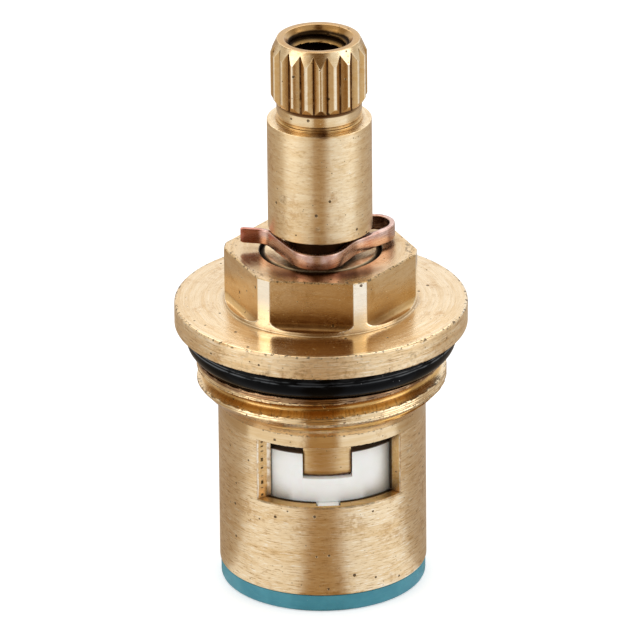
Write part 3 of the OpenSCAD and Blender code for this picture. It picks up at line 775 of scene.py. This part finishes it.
def brass(name, pale, warm, stain, wear, marks):
    """Turned brass with tool lines, streaks, pits and stains, painted shade in its crevices, and the marks of
    its own piece: painted highlights, painted shade and reflections, and dirt.
    """
    # The cream is for painted highlights. The amber and browns are mostly painted shade, with some stains and
    # a greasy tone. The near-black is dirt and painted shade.
    pale_streak, dark_streak, edge = (0.99, 0.93, 0.80), (0.44, 0.25, 0.10), (0.99, 0.92, 0.78)
    grease_and_shade, stain_and_shade, crevice = (0.64, 0.34, 0.055), (0.14, 0.040, 0.008), (0.12, 0.042, 0.009)
    black_dirt_and_shade, pit = (0.012, 0.0045, 0.0015), (0.045, 0.020, 0.007)
    n = Surface(name)
    fine = n.lathe(2.2, 16.0, 2.0, 0.6)
    bands = n.lathe(1.6, 2.6, 5.0, 0.6)
    streak = n.lathe(9.0, 10.0, 4.0, 0.72)
    cloud = n.noise(n.place, 0.40, 5.0, 0.62)
    grime = n.noise(n.place, 1.9, 6.0, 0.68)
    polish, painted_highlight, amber, brown, dirt, clear = marks(n)
    plain = n.math("SUBTRACT", 1.0, polish, clamp=True)
    smudge = n.times(n.pits(0.40, 0.30, 0.20), n.step(grime, 0.38, 0.72), plain)
    dark = n.most(n.pits(0.95, 0.60, 0.13), n.times(n.pits(2.6, 0.28, 0.15), 0.7), n.times(smudge, 0.6))
    stained = n.times(n.step(cloud, 0.48, 0.68), n.step(grime, 0.40, 0.64))
    # Painted shade: recesses darkened by ambient occlusion towards the crevice tone, broken up by grime noise
    corner = n.times(n.step(n.recess(0.9), 0.20, 0.65), n.step(grime, 0.25, 0.6, 0.65, 1.0))
    corner = n.times(corner, n.rest(clear))
    colour = n.mix(n.step(bands, 0.35, 0.68), pale, warm)
    colour = n.mix(n.times(n.step(streak, 0.53, 0.66), 0.75 * wear, plain), colour, pale_streak)
    colour = n.mix(n.times(n.step(streak, 0.48, 0.34), 0.85 * wear, plain), colour, dark_streak)
    colour = n.mix(n.times(stained, 0.65), colour, stain)
    # Painted highlight: pale cream on edges, crests and window walls where light catches them
    colour = n.mix(painted_highlight, colour, edge)
    colour = n.mix(amber, colour, grease_and_shade)
    colour = n.mix(brown, colour, stain_and_shade)
    colour = n.mix(n.times(corner, 0.90), colour, crevice)
    # Near-black: dirt and chips, and painted shade in holes, gaps and grooves
    colour = n.mix(dirt, colour, black_dirt_and_shade)
    colour = n.mix(n.times(dark, 0.78), colour, pit)
    rough = n.math("MULTIPLY_ADD", n.step(fine, 0.3, 0.7), 0.10, 0.30)
    rough = n.math("MULTIPLY_ADD", polish, -0.20, rough)
    rough = n.math("MULTIPLY_ADD", n.most(stained, corner), 0.10, rough)
    rough = n.math("MULTIPLY_ADD", n.most(dark, dirt), 0.35, rough, clamp=True)
    normal = n.bump(n.math("MULTIPLY_ADD", streak, 0.8, fine), 0.010, 0.5)
    normal = n.bump(n.math("SUBTRACT", 0.0, dark), 0.05, 0.8, normal)
    tangent = n.add("ShaderNodeTangent", direction_type="RADIAL", axis="Z").outputs[0]
    n.set(Metallic=1.0, Anisotropic=0.4, Anisotropic_Rotation=0.25)
    return n.set(Base_Color=colour, Roughness=rough, Normal=normal, Tangent=tangent)


def copper(name):
    """Rolled copper-coloured strip with lines along it, painted shade in its corners and a painted dark
    reflection at the left end.
    """
    pale, warm, shine = (0.66, 0.47, 0.40), (0.53, 0.30, 0.23), (0.86, 0.68, 0.60)
    groove, dark_reflected_end = (0.36, 0.14, 0.08), (0.52, 0.12, 0.06)
    crevice, pit = (0.12, 0.03, 0.015), (0.10, 0.04, 0.03)
    n = Surface(name)
    run = n.noise(n.vector("MULTIPLY", n.place, (1.2, 1.2, 14.0)), 1.0, 4.0, 0.6)
    cloud = n.noise(n.place, 0.9, 5.0, 0.6)
    dark = n.pits(1.6, 0.25, 0.14)
    # Painted shade: corners darkened by ambient occlusion
    corner = n.step(n.recess(1.2), 0.25, 0.8)
    colour = n.mix(n.step(cloud, 0.35, 0.68), pale, warm)
    colour = n.mix(n.times(n.step(run, 0.5, 0.7), 0.35), colour, shine)
    colour = n.mix(n.times(n.step(run, 0.48, 0.34), 0.55), colour, groove)
    # Painted dark reflection on the strip's left end
    colour = n.mix(n.times(n.step(n.x, -4.4, -5.6), 0.6), colour, dark_reflected_end)
    colour = n.mix(n.times(corner, 0.8), colour, crevice)
    colour = n.mix(n.times(dark, 0.8), colour, pit)
    rough = n.math("MULTIPLY_ADD", run, 0.22, 0.17)
    normal = n.bump(run, 0.012, 0.5)
    n.set(Metallic=1.0, Coat_Weight=0.05)
    return n.set(Base_Color=colour, Roughness=rough, Normal=normal)


def rubber(name):
    """Black rubber with dust, a painted sheen on its upper part, broken painted highlight lines and specks.
    """
    black, dusty, sheen_grey = (0.0008, 0.0008, 0.0010), (0.005, 0.005, 0.006), (0.020, 0.022, 0.025)
    line_grey, speck_grey = (0.15, 0.16, 0.17), (0.42, 0.42, 0.42)
    n = Surface(name)
    dust = n.noise(n.place, 3.1, 6.0, 0.7)
    smear = n.noise(n.vector("MULTIPLY", n.place, (0.6, 0.6, 2.5)), 1.0, 4.0, 0.6)
    speck = n.times(n.pits(2.2, 0.30, 0.12), n.band(n.x, 0.5, 6.0, 1.5))
    middle = (RING[0][2] + RING[1][2]) / 2
    # Painted sheen: a paler grey over the ring's upper part, broken by smear noise
    upper_sheen = n.times(n.step(n.z, middle - 0.1, middle + 0.4), n.step(smear, 0.40, 0.62))
    broken = n.times(n.step(n.math("ABSOLUTE", n.x), 2.0, 7.0, 0.3, 1.0), n.step(smear, 0.36, 0.52))
    # Painted highlight lines on the ring's upper part, stronger at the sides
    lines = n.most(n.band(n.z, middle + 0.20, middle + 0.25, 0.05),
                   n.band(n.z, middle + 0.42, middle + 0.45, 0.04))
    lines = n.times(lines, broken, n.step(n.r, RING_R, RING_R + 0.1))
    colour = n.mix(n.times(n.step(dust, 0.58, 0.8), 0.5), black, dusty)
    colour = n.mix(n.times(upper_sheen, 0.7), colour, sheen_grey)
    colour = n.mix(n.times(lines, 0.7), colour, line_grey)
    colour = n.mix(n.times(speck, n.step(n.z, middle - 0.5, middle), 0.7), colour, speck_grey)
    rough = n.math("MULTIPLY_ADD", n.step(smear, 0.35, 0.7), 0.14, 0.14)
    normal = n.bump(dust, 0.010, 0.35)
    n.set(Metallic=0.0, Specular_IOR_Level=0.06)
    return n.set(Base_Color=colour, Roughness=rough, Normal=normal)


def ceramic(name):
    """White sintered ceramic with painted shade in its corners, near the window's sides and on its top face.
    """
    white, ivory, line_grey = (0.96, 0.96, 0.93), (0.92, 0.92, 0.88), (0.78, 0.77, 0.72)
    shade, grease_and_shade, speck_grey = (0.19, 0.15, 0.08), (0.060, 0.026, 0.008), (0.22, 0.20, 0.17)
    n = Surface(name)
    grain = n.noise(n.place, 16.0, 3.0, 0.6)
    cloud = n.noise(n.place, 0.6, 4.0, 0.6)
    lines = n.lathe(1.0, 7.0, 3.0, 0.6)
    speck = n.pits(1.5, 0.12, 0.07)
    upper = n.step(n.z, SLOT_FLOOR + 0.2, SLOT_FLOOR + 0.9, 0.25, 1.0)
    outer = n.step(n.math("ABSOLUTE", n.x), 2.6, 3.4)
    # Painted shade: ambient-occlusion darkening in corners, and a fixed darker band near the window's sides
    # at the rim
    corner = n.times(n.step(n.recess(2.2), 0.12, 0.55), n.most(upper, outer))
    smear = n.times(n.step(n.math("ABSOLUTE", n.x), 4.3, 5.3), n.step(n.r, DISC_R - 0.15, DISC_R - 0.05))
    smear = n.times(smear, n.step(cloud, 0.3, 0.55, 0.5, 1.0), 0.75)
    corner = n.most(corner, smear)
    # Painted shade on the top face outside the waist
    shaded_top = n.times(n.band(n.z, MOVING[1][2] - 0.05, MOVING[1][2] + 0.05, 0.04), n.step(n.r, 2.3, 2.8))
    colour = n.mix(n.step(cloud, 0.35, 0.7), white, ivory)
    colour = n.mix(n.times(n.step(lines, 0.55, 0.75), 0.2), colour, line_grey)
    colour = n.mix(n.times(corner, 0.72), colour, shade)
    colour = n.mix(n.times(shaded_top, 0.92), colour, grease_and_shade)
    colour = n.mix(n.times(speck, 0.7), colour, speck_grey)
    rough = n.math("MULTIPLY_ADD", grain, 0.2, 0.30)
    normal = n.bump(n.math("MULTIPLY_ADD", grain, 0.4, lines), 0.004, 0.5)
    n.set(Metallic=0.0, Subsurface_Weight=0.12, Subsurface_Scale=0.0006)
    return n.set(Base_Color=colour, Roughness=rough, Normal=normal)


def silicone(name):
    """Matte teal silicone with paler flow lines and specks."""
    teal, light_teal = (0.042, 0.235, 0.305), (0.060, 0.280, 0.350)
    flow_teal, pale = (0.090, 0.33, 0.39), (0.32, 0.50, 0.52)
    n = Surface(name)
    grain = n.noise(n.place, 9.0, 4.0, 0.65)
    cloud = n.noise(n.place, 0.55, 5.0, 0.6)
    flow = n.noise(n.vector("MULTIPLY", n.place, (0.7, 0.7, 4.0)), 1.0, 4.0, 0.6)
    speck = n.pits(2.2, 0.10, 0.10)
    colour = n.mix(n.step(cloud, 0.35, 0.68), teal, light_teal)
    colour = n.mix(n.times(n.step(flow, 0.5, 0.75), 0.35), colour, flow_teal)
    colour = n.mix(n.times(speck, 0.5), colour, pale)
    rough = n.math("MULTIPLY_ADD", grain, 0.2, 0.42)
    normal = n.bump(grain, 0.010, 0.4)
    n.set(Metallic=0.0, Subsurface_Weight=0.08, Subsurface_Scale=0.0005)
    return n.set(Base_Color=colour, Roughness=rough, Normal=normal)


def washer_plastic(name):
    """Pale plastic with turned lines."""
    n = Surface(name)
    grain = n.noise(n.place, 11.0, 4.0, 0.6)
    lines = n.lathe(1.0, 5.0, 3.0, 0.6)
    colour = n.mix(n.step(lines, 0.3, 0.7), (0.78, 0.77, 0.72), (0.70, 0.69, 0.63))
    rough = n.math("MULTIPLY_ADD", grain, 0.2, 0.4)
    return n.set(Base_Color=colour, Roughness=rough, Normal=n.bump(lines, 0.006, 0.4))


bonnet_brass = brass("bonnet_brass", (0.88, 0.70, 0.45), (0.78, 0.56, 0.30), (0.46, 0.25, 0.08), 1.0,
                     bonnet_marks)
spindle_brass = brass("spindle_brass", (0.88, 0.71, 0.46), (0.79, 0.58, 0.32), (0.50, 0.28, 0.10), 0.6,
                      spindle_marks)
clip_copper = copper("clip_bronze")
black_rubber = rubber("black_rubber")
white_ceramic = ceramic("ceramic")
teal_silicone = silicone("seal_silicone")
pale_plastic = washer_plastic("washer_plastic")


def place(obj, body, material, slot, *nodes):
    """Gives a piece its material and body, and hides the solids that it stands for; its slot is not used."""
    obj.data.materials.clear()
    obj.data.materials.append(material)
    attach(obj, body)
    if nodes:
        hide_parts(*nodes)


flange_ring = build_oring("flange_oring_moulded", RING_R, (Z_SEAT + Z_FLANGE) / 2, RING_SECTION)
place(build_bonnet(), "body", bonnet_brass, "bonnet_brass", "bonnet")
place(flange_ring, "body", black_rubber, "black_rubber", "flange_oring")
place(build_fixed_disc(), "body", white_ceramic, "ceramic", "fixed_disc")
place(build_seal(), "body", teal_silicone, "seal_silicone", "bottom_seal")
place(build_spindle(), "spindle", spindle_brass, "spindle_brass", "spindle")
place(build_tang(), "spindle", spindle_brass, "spindle_brass")
place(build_clip(), "spindle", clip_copper, "clip_bronze", "spindle_clip")
place(build_moving_disc(), "moving_disc", white_ceramic, "ceramic", "moving_disc")

for node, material in (("upper_spindle_oring", black_rubber), ("lower_spindle_oring", black_rubber),
                       ("thrust_washer", pale_plastic)):
    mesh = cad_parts[node].data
    mesh.materials.clear()
    mesh.materials.append(material)
    mesh.shade_smooth()


# Studio


def surround(n, stops):
    """Tone that a reflection meets, by its turn from the camera's side: 0 there and 1 behind the object."""
    turn = math.radians(CAMERA_TURN)
    flat = n.vector("NORMALIZE", n.vector("MULTIPLY", n.coords, (1, 1, 0)))
    away = n.vector("DOT_PRODUCT", flat, (-math.sin(turn), math.cos(turn), 0))
    right = n.vector("DOT_PRODUCT", flat, (math.cos(turn), math.sin(turn), 0))
    tone = n.ramp(n.math("MULTIPLY_ADD", away, 0.5, 0.5), stops)
    tint = n.mix(n.step(right, -0.4, 0.4), (0.97, 0.94, 0.90), (1.03, 1.05, 1.09))
    return n.vector("MULTIPLY", tone, tint)


def mirrored(n, path):
    return n.most(path.outputs["Is Glossy Ray"], path.outputs["Is Transmission Ray"])


def build_floor():
    """Pale floor, white to the camera; metal sees it pale at both sides, dim by the camera and behind."""
    span, dim = 3, (0.41, 0.27, 0.13)
    n = Surface("floor_white")
    path = n.add("ShaderNodeLightPath")
    room = ((0.0, dim), (0.014, dim), (0.030, (0.93, 0.93, 0.94)), (0.39, (0.97, 0.98, 1.00)))
    near = surround(n, room + ((0.47, (0.48, 0.40, 0.31)), (0.60, (0.42, 0.34, 0.26)),
                               (1.0, (0.46, 0.38, 0.31))))
    far = surround(n, room + ((0.47, (0.64, 0.57, 0.48)), (0.60, (0.55, 0.47, 0.38)),
                              (1.0, (0.48, 0.40, 0.33))))
    tone = n.mix(n.step(n.r, 40.0, 62.0), near, far)
    grain = n.noise(n.coords, 30.0, 3.0, 0.5)
    n.set(Base_Color=n.mix(grain, (0.80, 0.80, 0.80), (0.78, 0.78, 0.78)))
    n.set(Roughness=0.9, Specular_IOR_Level=0.0)
    glow = n.add("ShaderNodeEmission", {"Strength": n.times(path.outputs["Is Camera Ray"], 0.42)})
    plain = n.add("ShaderNodeAddShader", {0: n.shader.outputs[0], 1: glow.outputs[0]})
    seen = n.add("ShaderNodeEmission", {"Color": tone})
    both = n.add("ShaderNodeMixShader", {0: mirrored(n, path), 1: plain.outputs[0], 2: seen.outputs[0]})
    n.tree.links.new(both.outputs[0], n.tree.nodes["Material Output"].inputs["Surface"])
    n.material.cycles.emission_sampling = "NONE"
    low = -FACE_GAP * MM
    mesh = bpy.data.meshes.new("floor")
    corners = [(-span, -span, low), (span, -span, low), (span, span, low), (-span, span, low)]
    mesh.from_pydata(corners, [], [(0, 1, 2, 3)])
    mesh.materials.append(n.material)
    floor = bpy.data.objects.new("floor", mesh)
    bpy.context.scene.collection.objects.link(floor)


def build_world():
    """White to the camera and pale all around; metal sees pale sides and the dim room behind the camera."""
    world = bpy.data.worlds.new("studio")
    bpy.context.scene.world = world
    world.use_nodes = True
    world.cycles.sampling_method = "NONE"
    n = Nodes(world.node_tree, "Generated")
    path = n.add("ShaderNodeLightPath")
    tone = surround(n, ((0.0, (0.17, 0.10, 0.04)), (0.024, (0.20, 0.12, 0.05)), (0.055, (0.88, 0.87, 0.85)),
                        (0.42, (0.94, 0.94, 0.94)), (0.62, (0.60, 0.55, 0.48)), (0.85, (0.95, 0.95, 0.95)),
                        (1.0, (1.05, 1.05, 1.08))))
    level = n.mix(mirrored(n, path), (0.80, 0.80, 0.80), tone)
    level = n.mix(path.outputs["Is Camera Ray"], level, (1.0, 1.0, 1.0))
    n.put(level, world.node_tree.nodes["Background"].inputs["Color"])


def lamp(name, where, size, power, aim=(0, 0, 0.026)):
    """Softbox turned towards the middle of the object."""
    light = bpy.data.lights.new(name, "AREA")
    light.shape, light.size, light.size_y, light.energy = "RECTANGLE", size[0], size[1], power
    obj = bpy.data.objects.new(name, light)
    obj.location = where
    obj.rotation_euler = (Vector(aim) - Vector(where)).to_track_quat("-Z", "Y").to_euler()
    bpy.context.scene.collection.objects.link(obj)


def build_camera():
    """The photograph's camera, fitted to the circles of the flange, barrel and head."""
    image, px_per_mm, focal_px, shift, roll, distance = 640, 11.983, 9586.4, (1.17, 0.71), -0.54, 0.8
    azimuth, elevation = math.radians(CAMERA_TURN), math.radians(23.7)
    back = Vector((math.sin(azimuth) * math.cos(elevation), -math.cos(azimuth) * math.cos(elevation),
                   math.sin(elevation)))
    right = Vector((math.cos(azimuth), math.sin(azimuth), 0))
    up = back.cross(right)
    scale = px_per_mm / MM
    aim = Vector((0, 0, Z_FLANGE * MM)) - right * (shift[0] / scale) + up * (shift[1] / scale)
    data = bpy.data.cameras.new("camera")
    data.sensor_width, data.clip_start, data.clip_end = 36, 0.05, 20
    data.lens = focal_px * data.sensor_width / image
    camera = bpy.data.objects.new("camera", data)
    turn = Matrix((right, up, back)).transposed().to_4x4() @ Matrix.Rotation(math.radians(roll), 4, "Z")
    camera.matrix_world = Matrix.Translation(aim + back * distance) @ turn
    bpy.context.scene.collection.objects.link(camera)
    bpy.context.scene.camera = camera


build_floor()
build_world()
lamp("softbox_left", (-0.34, -0.16, 0.16), (0.26, 0.42), 0.42)
lamp("softbox_right", (0.36, -0.12, 0.18), (0.26, 0.42), 0.38)
lamp("softbox_top", (0.0, 0.30, 0.40), (0.36, 0.30), 0.40)
build_camera()
bpy.context.scene.view_settings.view_transform = "Standard"
